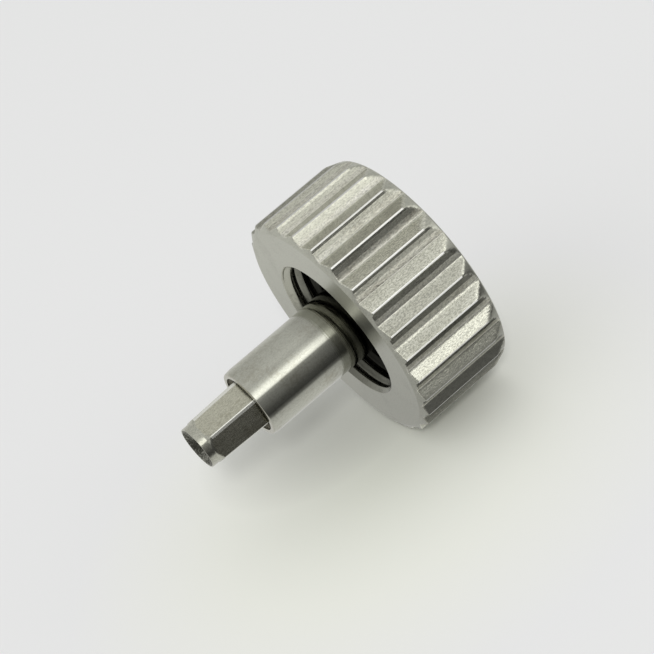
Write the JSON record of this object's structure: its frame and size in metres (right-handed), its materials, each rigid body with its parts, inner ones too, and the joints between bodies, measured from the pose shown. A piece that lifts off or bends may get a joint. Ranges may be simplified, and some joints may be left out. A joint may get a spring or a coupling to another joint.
{
  "type": "watch crown",
  "caption": "Screw-down watch crown: fluted steel head with a threaded recess, and a post with a sprung hexagonal stem driver.",
  "frame": {"origin": "on the crown's axis, in the plane of the head's front rim, where the case tube enters the thread", "axes": "+X along the crown's axis, out of the watch towards the head's outer face; -X is the way the case tube and the stem leave; +Z is the dial side, towards a corner of the hexagon"},
  "size_m": [0.0076, 0.0066, 0.0066],
  "materials": {
    "head_steel": "satin, fine-turned, with polished flute edges",
    "sleeve_steel": "polished",
    "bush_steel": "turned",
    "driver_steel": "milled flats, bright corners",
    "spring_steel": "drawn wire",
    "seat_steel": "stamped",
    "gasket_rubber": "matt black",
    "washer_steel": "stamped"
  },
  "bodies": {
    "head": {"crown_head": "head_steel", "stem_sleeve": "sleeve_steel", "guide_bush": "bush_steel", "driver_spring": "spring_steel", "spring_seat": "seat_steel", "tube_gasket": "gasket_rubber", "gasket_washer": "washer_steel"},
    "driver": {"stem_driver": "driver_steel"}
  },
  "joints": [
    {"name": "driver_slide", "type": "slide", "parent": "head", "child": "driver", "axis": [1, 0, 0], "range_m": [0, 0.0013], "stiffness_N_per_m": 300, "springref_m": -0.0015, "deforming": ["driver_spring"]}
  ]
}
